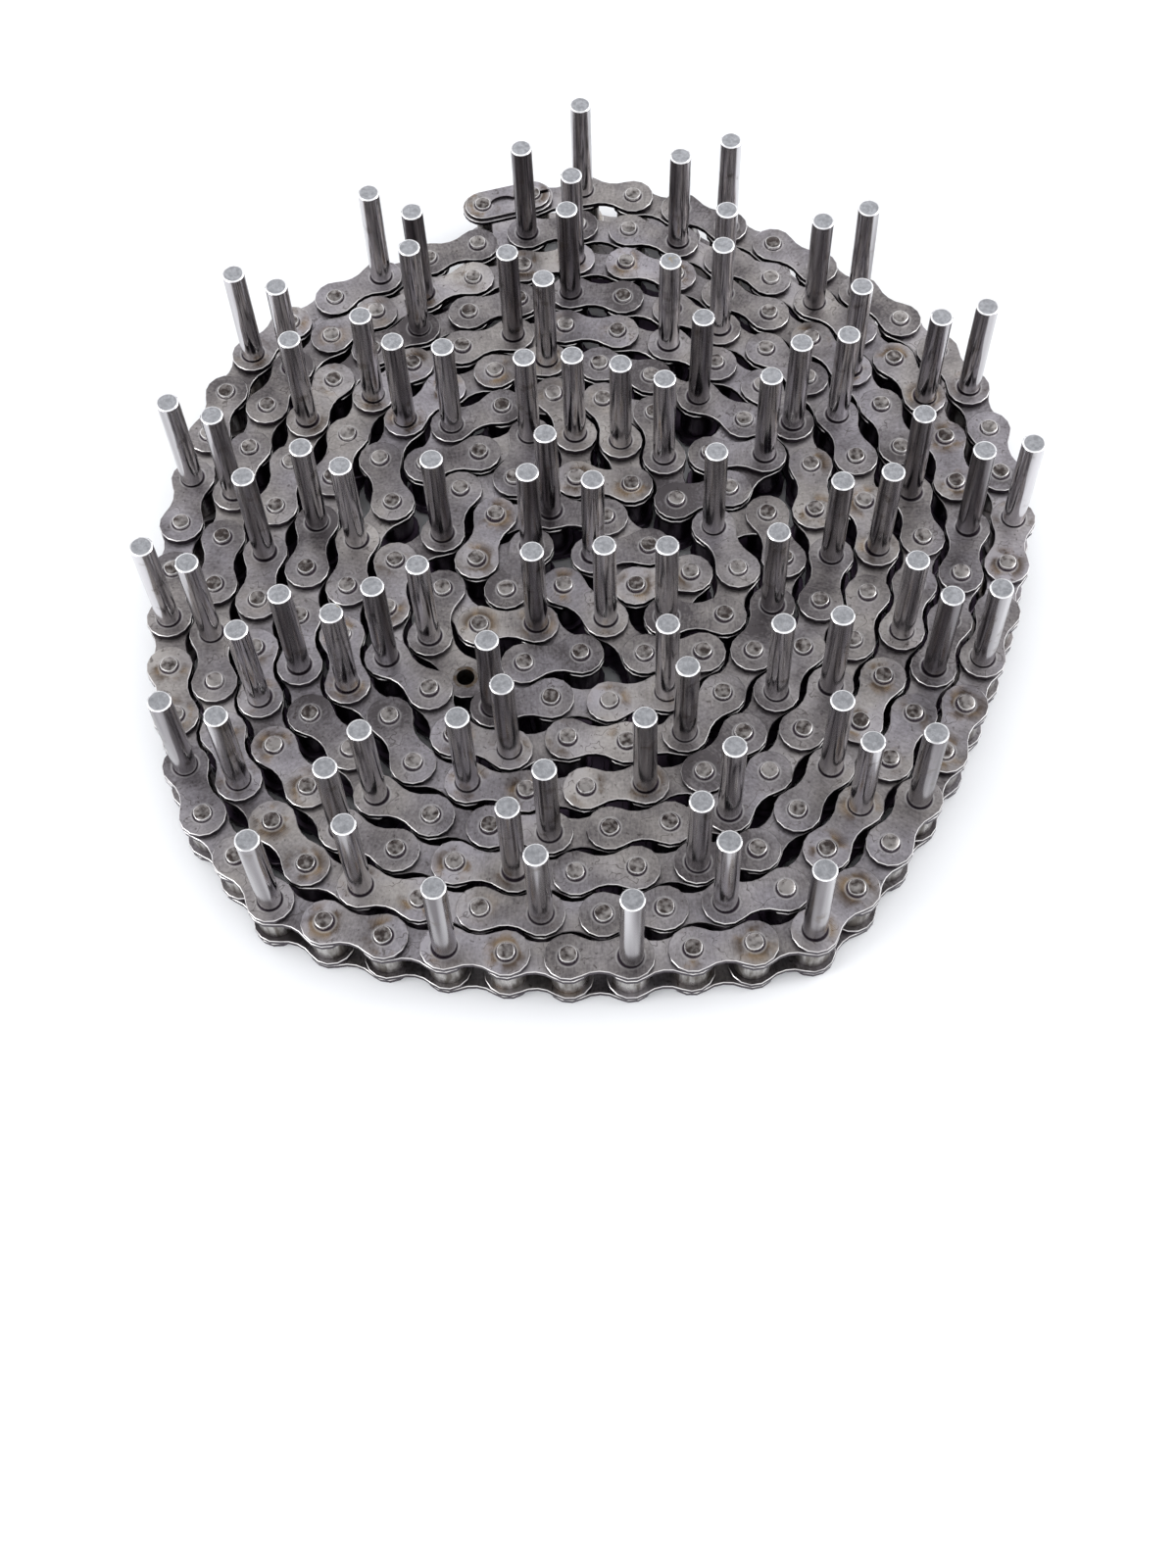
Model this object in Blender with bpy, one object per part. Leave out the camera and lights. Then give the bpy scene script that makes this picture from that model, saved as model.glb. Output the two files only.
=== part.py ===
"""A loose coil of roller chain, with a long pin in every third joint.

The chain lies on its side. Five turns run inward, and the rest is folded to and fro inside them.
"""

import math

import bmesh
import bpy
import numpy as np
from mathutils import Matrix, Vector

# The chain, in metres
PITCH = 0.01905
PIN_COUNT = 265
LONG_PIN_STEP = 3
LONG_PIN_PLACE = 2

# Plates, seen from above
OUTER_PLATE_RADIUS = 0.0076
INNER_PLATE_RADIUS = 0.0077
WAIST_HALF = 0.0050
END_ARC = math.radians(112.0)
END_POINTS = 5
HIDDEN_END_POINTS = 4

# Heights over the floor
LOWER_OUTER = (0.0016, 0.00345)
LOWER_INNER = (0.00375, 0.0055)
UPPER_INNER = (0.0172, 0.0190)
UPPER_OUTER = (0.0193, 0.02115)
RIVET_TOP = 0.0227
LONG_PIN_TOP = 0.0632

# Round pieces
PIN_RADIUS = 0.00286
LONG_PIN_RADIUS = 0.0038
ROLLER_RADIUS = 0.006035
BORE_RADIUS = 0.00342
ROUND_SIDES = 8
ROLLER_SIDES = 6
# A pin's shaft between two plates shows only as a dark line
SHAFT_SIDES = 4

# Inner links of the turns that lie inside: a plain bar from the floor to the outer plate. The
# first bar of a run starts beside the pin of the run before it and passes under that pin's plate
BAR_HALF = 0.0047
BAR_REACH = 0.0030
BAR_START = 0.0035
BAR_TOP = 0.0195
# A fused piece starts this far inside its neighbour
BITE = 0.0009
# Corners nearer than this are one corner
WELD = 0.000001

# Connecting link at the free end
CONNECTING_PLATE = (0.0193, 0.0209)
CLIP = (0.0212, 0.0221)
GROOVE = (0.0209, 0.0224)
GROOVE_RADIUS = 0.0023
CLIP_HALF = 0.0066
CLIP_HOLE_RADIUS = 0.00275
CLIP_SLOT = 0.0016
CONNECTING_PIN_TOP = 0.0232

# The lay of the coil, read by eye from the photo with its view taken out. First the distance of
# the first and of the fifth turn from the middle, every 30 degrees clockwise from the first bearing.
# The free end lies a little before the first bearing
FIRST_BEARING = 104.0
LEAD = 5.4
FIRST_TURN = (0.152, 0.144, 0.148, 0.140, 0.137, 0.148, 0.150, 0.156, 0.154, 0.142, 0.141, 0.140)
FIFTH_TURN = (0.089, 0.088, 0.088, 0.080, 0.078, 0.087, 0.092, 0.095, 0.092, 0.080, 0.075, 0.084)
TURNS_BETWEEN = 4
# The turns wind a little from side to side, the later ones more, so a pitch covers slightly less
# of the turn: what it covers at the free end and where the folded part starts
FIRST_STEP = 0.0188
LAST_STEP = 0.0183
STEP_PASSES = 4
# Then the part that is folded to and fro inside the turns: each pin's place, in whole millimetres
MILLIMETRE = 0.001
FOLD_PLACES = (
    (38, 56), (56, 52), (42, 39), (62, 38), (46, 29), (29, 20), (27, 38), (20, 56),
    (3, 60), (12, 43), (15, 25), (-4, 26), (-4, 45), (-13, 63), (-31, 58), (-49, 53),
    (-56, 36), (-38, 41), (-19, 47), (-26, 30), (-44, 25), (-48, 7), (-61, -7), (-64, -26),
    (-62, -45), (-48, -57), (-40, -73), (-21, -73), (-2, -74), (17, -74), (36, -70), (45, -53),
    (54, -36), (60, -18), (61, 2), (62, 22), (46, 12), (48, -7), (41, -25), (23, -28),
    (32, -11), (13, -15), (-1, -2), (18, 1), (5, 13), (-14, 14), (-33, 15), (-36, -4),
    (-17, -1), (-27, -17), (-8, -15), (5, -29), (16, -45), (35, -41), (26, -58), (7, -59),
    (-12, -60), (-31, -61), (-20, -46), (-1, -44), (-15, -31), (-34, -30), (-45, -15), (-49, -34),
    (-39, -50),
)

# Discs that stand for a link while the coil settles: share of the way to the next pin, half width
STATIONS = ((0.0, 0.0079), (0.25, 0.0063), (0.5, 0.00525), (0.75, 0.0063))
SIDE_GAP = 0.00032
# The links that swing at the free end lie a little clear of the next turn
FREE_LINKS = 3
FREE_GAP = 0.0010
SETTLE_ROUNDS = 5500
# In the first rounds the pins are drawn back a little to where they were drawn
HELD_ROUNDS = 3500
HOLD = 0.02
# Rounds between two searches for neighbours, and links along the chain that never count as such
SEARCH_ROUNDS = 20
NEXT_LINKS = 2.0
# Share of each push that is used in a round, and passes that bring the pitches back to true
PUSH_SHARE = 0.6
PITCH_PASSES = 8

# The pieces: single links that swing at the free end, then runs of six links
FIRST_RUN_PIN = 3
RUN_LINKS = 6
# Runs of the outer turn, whose sides show, so that their inner plates and rollers are real
OPEN_RUNS = 8

STEEL = (0.16, 0.155, 0.15, 1.0)
BRIGHT_STEEL = (0.45, 0.46, 0.47, 1.0)

COLLECTION = "roller_chain_coil"


def marked_radius(mark):
    """Distance of the chain from the middle at a mark, where each turn has a ring of marks."""
    turn, place = divmod(mark, len(FIRST_TURN))
    return FIRST_TURN[place] + (FIFTH_TURN[place] - FIRST_TURN[place]) * turn / TURNS_BETWEEN


def turn_radius(sweep):
    """Distance of the chain from the middle, this many degrees after the first bearing."""
    marks = sweep * len(FIRST_TURN) / 360.0
    mark = math.floor(marks)
    here = marked_radius(mark)
    return here + (marked_radius(mark + 1) - here) * (marks - mark)


def turn_point(sweep):
    """Point of the spiral after this sweep."""
    bearing = math.radians(FIRST_BEARING - sweep)
    radius = turn_radius(sweep)
    return np.array((radius * math.cos(bearing), radius * math.sin(bearing)))


def drawn_route():
    """Pin places before the links have settled side by side."""
    sweep = -LEAD
    pins = [turn_point(sweep)]
    turn_pins = PIN_COUNT - len(FOLD_PLACES)
    while len(pins) < turn_pins:
        cover = FIRST_STEP + (LAST_STEP - FIRST_STEP) * len(pins) / turn_pins
        step = math.degrees(cover / turn_radius(sweep))
        for _ in range(STEP_PASSES):
            step *= cover / np.linalg.norm(turn_point(sweep + step) - pins[-1])
        sweep += step
        pins.append(turn_point(sweep))
    pins += [MILLIMETRE * np.array(place) for place in FOLD_PLACES]
    return np.array(pins)


def settled_route():
    """Pin places with every pitch true and every plate clear of its neighbours."""
    pins = drawn_route()
    drawn = pins.copy()
    last = PIN_COUNT - 1
    shares = [share for share, _ in STATIONS]
    widths = [width for _, width in STATIONS]
    link = np.append(np.repeat(np.arange(last), len(STATIONS)), last)
    after = np.minimum(link + 1, last)
    share = np.append(np.tile(shares, last), 0.0)
    width = np.append(np.tile(widths, last), widths[0])
    place = link + share
    at_pin = share == 0.0
    apart = place[None, :] - place[:, None]
    both_at_pins = at_pin[:, None] & at_pin[None, :]
    clear = (apart > NEXT_LINKS) | ((apart == NEXT_LINKS) & both_at_pins)
    for turn in range(SETTLE_ROUNDS):
        disc = pins[link] * (1.0 - share)[:, None] + pins[after] * share[:, None]
        if turn % SEARCH_ROUNDS == 0:
            far = np.hypot(disc[:, None, 0] - disc[None, :, 0], disc[:, None, 1] - disc[None, :, 1])
            one, other = np.nonzero(clear & (far < PITCH))
        step = disc[other] - disc[one]
        length = np.hypot(step[:, 0], step[:, 1])
        room = width[one] + width[other] + SIDE_GAP
        room = np.where(link[one] < FREE_LINKS, 2.0 * widths[0] + FREE_GAP, room)
        short = np.maximum(0.0, room - length)
        push = (0.5 * short / length)[:, None] * step
        move = np.zeros_like(pins)
        for axis in (0, 1):
            for ids, sign in ((one, -1.0), (other, 1.0)):
                near = push[:, axis] * (1.0 - share[ids])
                move[:, axis] += sign * np.bincount(link[ids], near, PIN_COUNT)
                move[:, axis] += sign * np.bincount(after[ids], push[:, axis] * share[ids], PIN_COUNT)
        hold = HOLD if turn < HELD_ROUNDS else 0.0
        pins = pins + PUSH_SHARE * move + hold * (drawn - pins)
        for _ in range(PITCH_PASSES):
            for start in (0, 1):
                near = np.arange(start, last, 2)
                span = pins[near + 1] - pins[near]
                length = np.hypot(span[:, 0], span[:, 1])
                mend = (0.5 * (length - PITCH) / length)[:, None] * span
                pins[near] += mend
                pins[near + 1] -= mend
    middle = (pins.min(axis=0) + pins.max(axis=0)) / 2.0
    return [Vector((x, y, 0.0)) for x, y in pins - middle]


def steel(name, colour, roughness):
    """A Principled steel."""
    material = bpy.data.materials.new(name)
    material.use_nodes = True
    shader = material.node_tree.nodes["Principled BSDF"]
    shader.inputs["Base Color"].default_value = colour
    shader.inputs["Metallic"].default_value = 1.0
    shader.inputs["Roughness"].default_value = roughness
    return material


def linked(name, mesh, collection):
    """An object for the mesh, in the collection."""
    item = bpy.data.objects.new(name, mesh)
    collection.objects.link(item)
    return item


def plate_outline(radius, end_points):
    """Outline of a plate from pin to pin along X, with round ends and a waist."""
    points = []
    for centre, facing, side in ((PITCH, 0.0, WAIST_HALF), (0.0, math.pi, -WAIST_HALF)):
        for k in range(end_points):
            angle = facing + END_ARC * (2.0 * k / (end_points - 1) - 1.0)
            points.append((centre + radius * math.cos(angle), radius * math.sin(angle)))
        points.append((PITCH / 2.0, side))
    return points


def straight_outline(half):
    """Outline from pin to pin along X, with straight sides."""
    points = []
    for centre, facing in ((PITCH, 0.0), (0.0, math.pi)):
        for k in range(ROUND_SIDES + 1):
            angle = facing + math.pi * (k / ROUND_SIDES - 0.5)
            points.append((centre + half * math.cos(angle), half * math.sin(angle)))
    return points


def bar_outline(left):
    """Outline of a plain bar that starts this far from its first pin and passes the next."""
    right = PITCH + BAR_REACH
    return [(left, -BAR_HALF), (right, -BAR_HALF), (right, BAR_HALF), (left, BAR_HALF)]


def slab(outline, start, end, heights, workshop):
    """An outline raised between two heights, laid from one pin to the next."""
    bottom, top = heights
    curve = bpy.data.curves.new("outline", "CURVE")
    curve.dimensions = "2D"
    curve.fill_mode = "BOTH"
    curve.extrude = (top - bottom) / 2.0
    spline = curve.splines.new("POLY")
    spline.points.add(len(outline) - 1)
    for point, (x, y) in zip(spline.points, outline):
        point.co = (x, y, 0.0, 1.0)
    spline.use_cyclic_u = True
    drawn = linked("outline", curve, workshop)
    graph = bpy.context.evaluated_depsgraph_get()
    mesh = bpy.data.meshes.new_from_object(drawn.evaluated_get(graph))
    bpy.data.objects.remove(drawn)
    across = end - start
    turn = Matrix.Rotation(math.atan2(across.y, across.x), 4, "Z")
    mesh.transform(Matrix.Translation((start.x, start.y, (bottom + top) / 2.0)) @ turn)
    shape = bmesh.new()
    shape.from_mesh(mesh)
    bmesh.ops.remove_doubles(shape, verts=shape.verts, dist=WELD)
    bmesh.ops.recalc_face_normals(shape, faces=shape.faces)
    shape.to_mesh(mesh)
    shape.free()
    return linked("slab", mesh, workshop)


def post(centre, heights, radius, sides, workshop):
    """An upright round piece."""
    bottom, top = heights
    mesh = bpy.data.meshes.new("post")
    shape = bmesh.new()
    bmesh.ops.create_cone(
        shape, cap_ends=True, segments=sides, radius1=radius, radius2=radius, depth=top - bottom
    )
    bmesh.ops.translate(shape, verts=shape.verts, vec=(centre.x, centre.y, (bottom + top) / 2.0))
    shape.to_mesh(mesh)
    shape.free()
    return linked("post", mesh, workshop)


def fused(name, origin, pieces, cutters, workshop, collection, material):
    """One closed solid from overlapping pieces, less the cutters, with its origin on the chain."""
    body = pieces[0]
    others = bpy.data.collections.new("joined")
    for piece in pieces[1:]:
        others.objects.link(piece)
    if len(pieces) > 1:
        join = body.modifiers.new("join", "BOOLEAN")
        join.operation = "UNION"
        join.operand_type = "COLLECTION"
        join.collection = others
    for cutter in cutters:
        cut = body.modifiers.new("cut", "BOOLEAN")
        cut.operation = "DIFFERENCE"
        cut.object = cutter
    graph = bpy.context.evaluated_depsgraph_get()
    mesh = bpy.data.meshes.new_from_object(body.evaluated_get(graph))
    mesh.name = name
    mesh.transform(Matrix.Translation(-origin))
    mesh.materials.clear()
    mesh.materials.append(material)
    for piece in pieces + cutters:
        bpy.data.objects.remove(piece)
    bpy.data.collections.remove(others)
    item = linked(name, mesh, collection)
    item.location = origin
    return item


def is_long(pin):
    """Every third pin is long."""
    return pin % LONG_PIN_STEP == LONG_PIN_PLACE


def long_pin(centre, workshop):
    """The length of a long pin that stands over its plate."""
    heights = (UPPER_OUTER[0] + BITE, LONG_PIN_TOP)
    return post(centre, heights, LONG_PIN_RADIUS, ROUND_SIDES, workshop)


def plate(start, end, radius, heights, workshop, end_points=END_POINTS):
    """One plate from pin to pin."""
    return slab(plate_outline(radius, end_points), start, end, heights, workshop)


def open_inner_link(start, end, workshop):
    """Two inner plates with the bushes and rollers between them."""
    roller = (LOWER_INNER[1] - BITE, UPPER_INNER[0] + BITE)
    return [
        plate(start, end, INNER_PLATE_RADIUS, LOWER_INNER, workshop, HIDDEN_END_POINTS),
        plate(start, end, INNER_PLATE_RADIUS, UPPER_INNER, workshop, HIDDEN_END_POINTS),
        post(start, roller, ROLLER_RADIUS, ROLLER_SIDES, workshop),
        post(end, roller, ROLLER_RADIUS, ROLLER_SIDES, workshop),
    ]


def bore(centre, workshop):
    """The cutter for a bush's hole, which leaves room round the pin of another link."""
    return post(centre, (0.0, UPPER_OUTER[0]), BORE_RADIUS, ROUND_SIDES, workshop)


def open_run(name, pins, first, last, workshop, collection, material):
    """Links of the outer turn as one solid, hung on the pin of the link before it."""
    pieces = []
    for k in range(first, last, 2):
        pieces += open_inner_link(pins[k], pins[k + 1], workshop)
    for k in range(first + 1, last, 2):
        pieces.append(plate(pins[k], pins[k + 1], OUTER_PLATE_RADIUS, UPPER_OUTER, workshop))
    for k in range(first + 1, last):
        bottom = 0.0 if is_long(k) else UPPER_INNER[0] + BITE
        shaft = (bottom, UPPER_OUTER[0] + BITE)
        pieces.append(post(pins[k], shaft, PIN_RADIUS, SHAFT_SIDES, workshop))
        if is_long(k):
            pieces.append(long_pin(pins[k], workshop))
    shaft = (0.0, UPPER_OUTER[0] + BITE)
    pieces.append(post(pins[last], shaft, PIN_RADIUS, ROUND_SIDES, workshop))
    cutters = [bore(pins[first], workshop)]
    return fused(name, pins[first], pieces, cutters, workshop, collection, material)


def inner_run(name, pins, first, last, workshop, collection, material):
    """Links of the turns inside as one solid: the outer plates and long pins on plain bars."""
    pieces = []
    cutters = []
    for k in range(first, last, 2):
        start, end = pins[k], pins[k + 1]
        if k + 1 == PIN_COUNT - 1:
            # The chain's inner end is a real inner link with an empty bush
            pieces += open_inner_link(start, end, workshop)
            shaft = (LOWER_INNER[0] + BITE, UPPER_OUTER[0] + BITE)
            pieces.append(post(start, shaft, PIN_RADIUS, SHAFT_SIDES, workshop))
            cutters.append(bore(end, workshop))
        elif k == first:
            heights = (0.0, UPPER_INNER[1])
            shaft = (UPPER_INNER[0], UPPER_OUTER[0] + BITE)
            pieces.append(slab(bar_outline(BAR_START), start, end, heights, workshop))
            pieces.append(post(end, shaft, PIN_RADIUS, SHAFT_SIDES, workshop))
        else:
            heights = (0.0, BAR_TOP)
            pieces.append(slab(bar_outline(-BAR_REACH), start, end, heights, workshop))
    for k in range(first + 1, last, 2):
        pieces.append(plate(pins[k], pins[k + 1], OUTER_PLATE_RADIUS, UPPER_OUTER, workshop))
        for pin in (k, k + 1):
            if is_long(pin):
                pieces.append(long_pin(pins[pin], workshop))
    return fused(name, pins[first], pieces, cutters, workshop, collection, material)


def connecting_link(pins, workshop, collection, material, bright):
    """The link that closes the chain: a plate with two grooved pins, a loose plate and a clip."""
    start, end = pins[0], pins[1]
    pieces = [slab(straight_outline(OUTER_PLATE_RADIUS), start, end, LOWER_OUTER, workshop)]
    for centre in (start, end):
        shaft = (0.0, GROOVE[0])
        neck = (GROOVE[0] - BITE, GROOVE[1] + BITE / 2.0)
        head = (GROOVE[1], CONNECTING_PIN_TOP)
        pieces.append(post(centre, shaft, PIN_RADIUS, ROUND_SIDES, workshop))
        pieces.append(post(centre, neck, GROOVE_RADIUS, ROUND_SIDES, workshop))
        pieces.append(post(centre, head, PIN_RADIUS, ROUND_SIDES, workshop))
    fused("connecting_link", end, pieces, [], workshop, collection, material)

    loose = slab(straight_outline(OUTER_PLATE_RADIUS), start, end, CONNECTING_PLATE, workshop)
    holes = [post(c, (0.0, CLIP[0]), BORE_RADIUS, ROUND_SIDES, workshop) for c in (start, end)]
    fused("connecting_plate", end, [loose], holes, workshop, collection, material)

    clip = slab(straight_outline(CLIP_HALF), start, end, CLIP, workshop)
    tall = (CLIP[0] - BITE, CLIP[1] + BITE)
    holes = [post(c, tall, CLIP_HOLE_RADIUS, ROUND_SIDES, workshop) for c in (start, end)]
    side = CLIP_SLOT / 2.0
    open_end = PITCH + 2.0 * CLIP_HALF
    slot = [(0.0, -side), (open_end, -side), (open_end, side), (0.0, side)]
    holes.append(slab(slot, start, end, tall, workshop))
    fused("spring_clip", end, [clip], holes, workshop, collection, bright)


def swinging_links(pins, workshop, collection, material):
    """The inner and the outer link next to the free end, each free to turn on its pin."""
    start, end = pins[1], pins[2]
    holes = [bore(start, workshop), bore(end, workshop)]
    links = open_inner_link(start, end, workshop)
    fused("end_inner_link", end, links, holes, workshop, collection, material)

    start, end = pins[2], pins[3]
    pieces = [
        plate(start, end, OUTER_PLATE_RADIUS, LOWER_OUTER, workshop),
        plate(start, end, OUTER_PLATE_RADIUS, UPPER_OUTER, workshop),
        post(start, (0.0, RIVET_TOP - BITE), PIN_RADIUS, ROUND_SIDES, workshop),
        post(end, (0.0, RIVET_TOP), PIN_RADIUS, ROUND_SIDES, workshop),
        long_pin(start, workshop),
    ]
    fused("end_outer_link", end, pieces, [], workshop, collection, material)


for item in list(bpy.data.objects):
    bpy.data.objects.remove(item)
chain = bpy.data.collections.new(COLLECTION)
bpy.context.scene.collection.children.link(chain)
bench = bpy.data.collections.new("workshop")
bpy.context.scene.collection.children.link(bench)

plate_steel = steel("plate_steel", STEEL, 0.4)
clip_steel = steel("clip_steel", BRIGHT_STEEL, 0.3)

route = settled_route()
connecting_link(route, bench, chain, plate_steel, clip_steel)
swinging_links(route, bench, chain, plate_steel)
starts = range(FIRST_RUN_PIN, PIN_COUNT - 1, RUN_LINKS)
for number, run_start in enumerate(starts):
    run_end = min(run_start + RUN_LINKS, PIN_COUNT - 1)
    run_name = f"chain_run_{number + 1:02d}"
    make_run = open_run if number < OPEN_RUNS else inner_run
    make_run(run_name, route, run_start, run_end, bench, chain, plate_steel)
bpy.data.collections.remove(bench)
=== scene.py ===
"""A loose coil of roller chain, with a long pin in every third joint, lying on a pale floor."""

import math

import bmesh
import bpy
import numpy as np
from mathutils import Matrix, Vector


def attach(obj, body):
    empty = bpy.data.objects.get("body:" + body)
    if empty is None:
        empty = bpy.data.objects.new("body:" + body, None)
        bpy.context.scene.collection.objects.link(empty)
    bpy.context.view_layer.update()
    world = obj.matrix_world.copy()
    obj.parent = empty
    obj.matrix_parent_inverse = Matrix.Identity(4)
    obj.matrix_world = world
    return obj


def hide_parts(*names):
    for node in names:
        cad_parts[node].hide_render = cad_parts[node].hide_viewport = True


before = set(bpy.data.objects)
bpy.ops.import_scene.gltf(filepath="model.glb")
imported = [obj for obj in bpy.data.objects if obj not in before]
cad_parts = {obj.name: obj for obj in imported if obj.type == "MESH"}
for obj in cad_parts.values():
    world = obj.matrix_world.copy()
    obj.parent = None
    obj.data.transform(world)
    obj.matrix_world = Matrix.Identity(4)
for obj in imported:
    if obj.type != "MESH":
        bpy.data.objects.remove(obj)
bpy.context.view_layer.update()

# Bushes, one at each joint of the inner links. Each is a short tube curled from strip steel, whose
# ends are pressed into the two inner plates. The joints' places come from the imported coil, in which
# each outer plate reaches from one pin to the next and the inner links join them at one pitch.
PITCH = 0.01905
PLATE_RADIUS = 0.0076
LOWER_INNER = (0.00375, 0.0055)
UPPER_INNER = (0.0172, 0.0190)
UPPER_OUTER = (0.0193, 0.02115)
LOOSE_PLATE = (0.0193, 0.0209)
LEVEL = 0.00002
WELD = 0.00001
RUNS = sorted(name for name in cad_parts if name.startswith("chain_run"))
BUSH_RADIUS = 0.0042
BUSH_BORE = 0.00305
BUSH_SIDES = 16
BUSH_COLOUR = (0.17, 0.16, 0.155, 1.0)
BUSH_STAIN = (0.09, 0.065, 0.045, 1.0)
BUSH_GRAIN = (500.0, 4.0)
BUSH_MARKS = (0.4, 0.6)
BUSH_ROUGHNESS = (0.34, 0.50)
NOISE_SPAN = (0.3, 0.7)
SMOOTH_ANGLE = math.radians(35.0)
END_REACH = PLATE_RADIUS * 1.2
FIRST_TURN_PINS = 54
TONE_SEED = 5


def corners(node, low, high):
    """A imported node's welded corners between two heights, as groups joined by edges."""
    shape = bmesh.new()
    shape.from_mesh(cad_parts[node].data)
    bmesh.ops.remove_doubles(shape, verts=shape.verts, dist=WELD)
    away = [v for v in shape.verts if not low - LEVEL < v.co.z < high + LEVEL]
    bmesh.ops.delete(shape, geom=away, context="VERTS")
    groups = []
    seen = set()
    for first in shape.verts:
        if first in seen:
            continue
        seen.add(first)
        group = [first]
        for vert in group:
            for edge in vert.link_edges:
                other = edge.other_vert(vert)
                if other not in seen:
                    seen.add(other)
                    group.append(other)
        groups.append([Vector((v.co.x, v.co.y, 0.0)) for v in group])
    shape.free()
    return groups


def plate_pins(node, top):
    """The two pins of each plate whose upper face is at this height."""
    found = []
    for group in corners(node, top, top):
        pairs = ((a, b) for k, a in enumerate(group) for b in group[k + 1 :])
        one, other = max(pairs, key=lambda pair: (pair[0] - pair[1]).length, default=(None, None))
        if one is None:
            continue
        if abs((other - one).length - PITCH - 2.0 * PLATE_RADIUS) < PLATE_RADIUS:
            inward = (other - one).normalized() * PLATE_RADIUS
            found.append((one + inward, other - inward))
    return found


def follow(chain, plates):
    """Adds the plates' pins to the chain, each plate one pitch on from the last pin."""
    while plates:
        ends = [(k, near, far) for k, (a, b) in enumerate(plates) for near, far in ((a, b), (b, a))]
        k, near, far = min(ends, key=lambda end: abs((end[1] - chain[-1]).length - PITCH))
        chain += [near, far]
        plates.pop(k)


free_end = plate_pins("connecting_plate", LOOSE_PLATE[1])[0]
second = plate_pins("end_outer_link", UPPER_OUTER[1])[0]
free_end = min(
    (free_end, free_end[::-1]),
    key=lambda ends: min(abs((ends[1] - pin).length - PITCH) for pin in second),
)
pins = list(free_end)
follow(pins, [second])
for run in RUNS:
    follow(pins, plate_pins(run, UPPER_OUTER[1]))
# No outer plate reaches the last joint. It is put one pitch on, towards the farthest corner of the
# last inner plate. Known fault: the two farthest are one corner, at the plate's upper and lower
# face, and not the pair on both sides of its end. So this link is turned 10.5 degrees from its solid.
tail = [
    corner
    for group in corners(RUNS[-1], UPPER_INNER[0], UPPER_INNER[1])
    for corner in group
    if min((corner - pin).length for pin in pins[-3:-1]) > END_REACH
]
tail.sort(key=lambda corner: (corner - pins[-1]).length)
pins.append(pins[-1] + ((tail[-1] + tail[-2]) / 2.0 - pins[-1]).normalized() * PITCH)
LAST_PIN = len(pins) - 1
tones = np.random.default_rng(TONE_SEED).random(LAST_PIN + 1)


def laying_tree():
    """Geometry Nodes that lay a piece at each place, turned along its link and leaning a little."""
    tree = bpy.data.node_groups.new("lay_on_chain", "GeometryNodeTree")
    sockets = (
        ("Places", "NodeSocketGeometry"),
        ("Piece", "NodeSocketObject"),
        ("Finish", "NodeSocketMaterial"),
        ("Height", "NodeSocketFloat"),
        ("Lean", "NodeSocketFloat"),
        ("Seed", "NodeSocketInt"),
    )
    for name, kind in sockets:
        tree.interface.new_socket(name, in_out="INPUT", socket_type=kind)
    tree.interface.new_socket("Laid", in_out="OUTPUT", socket_type="NodeSocketGeometry")
    start = tree.nodes.new("NodeGroupInput")
    end = tree.nodes.new("NodeGroupOutput")
    lift = tree.nodes.new("ShaderNodeCombineXYZ")
    lifted = tree.nodes.new("GeometryNodeSetPosition")
    shape = tree.nodes.new("GeometryNodeObjectInfo")
    heading = tree.nodes.new("GeometryNodeInputNamedAttribute")
    heading.data_type = "FLOAT"
    heading.inputs["Name"].default_value = "heading"
    lean = tree.nodes.new("FunctionNodeRandomValue")
    lean.data_type = "FLOAT_VECTOR"
    lean.inputs["Min"].default_value = (-1.0, -1.0, 0.0)
    lean.inputs["Max"].default_value = (1.0, 1.0, 0.0)
    scaled = tree.nodes.new("ShaderNodeVectorMath")
    scaled.operation = "SCALE"
    upright = tree.nodes.new("ShaderNodeCombineXYZ")
    angles = tree.nodes.new("ShaderNodeVectorMath")
    angles.operation = "ADD"
    turn = tree.nodes.new("FunctionNodeEulerToRotation")
    laid = tree.nodes.new("GeometryNodeInstanceOnPoints")
    real = tree.nodes.new("GeometryNodeRealizeInstances")
    skin = tree.nodes.new("GeometryNodeSetMaterial")
    link = tree.links.new
    link(start.outputs["Piece"], shape.inputs["Object"])
    link(start.outputs["Seed"], lean.inputs["Seed"])
    link(lean.outputs["Value"], scaled.inputs["Vector"])
    link(start.outputs["Lean"], scaled.inputs["Scale"])
    link(heading.outputs["Attribute"], upright.inputs["Z"])
    link(scaled.outputs["Vector"], angles.inputs[0])
    link(upright.outputs["Vector"], angles.inputs[1])
    link(angles.outputs["Vector"], turn.inputs["Euler"])
    link(start.outputs["Height"], lift.inputs["Z"])
    link(start.outputs["Places"], lifted.inputs["Geometry"])
    link(lift.outputs["Vector"], lifted.inputs["Offset"])
    link(lifted.outputs["Geometry"], laid.inputs["Points"])
    link(shape.outputs["Geometry"], laid.inputs["Instance"])
    link(turn.outputs["Rotation"], laid.inputs["Rotation"])
    link(laid.outputs["Instances"], real.inputs["Geometry"])
    link(real.outputs["Geometry"], skin.inputs["Geometry"])
    link(start.outputs["Finish"], skin.inputs["Material"])
    link(skin.outputs["Geometry"], end.inputs["Laid"])
    return tree


LAYING = laying_tree()
SOCKETS = {
    item.name: item.identifier for item in LAYING.interface.items_tree if item.in_out == "INPUT"
}


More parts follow.
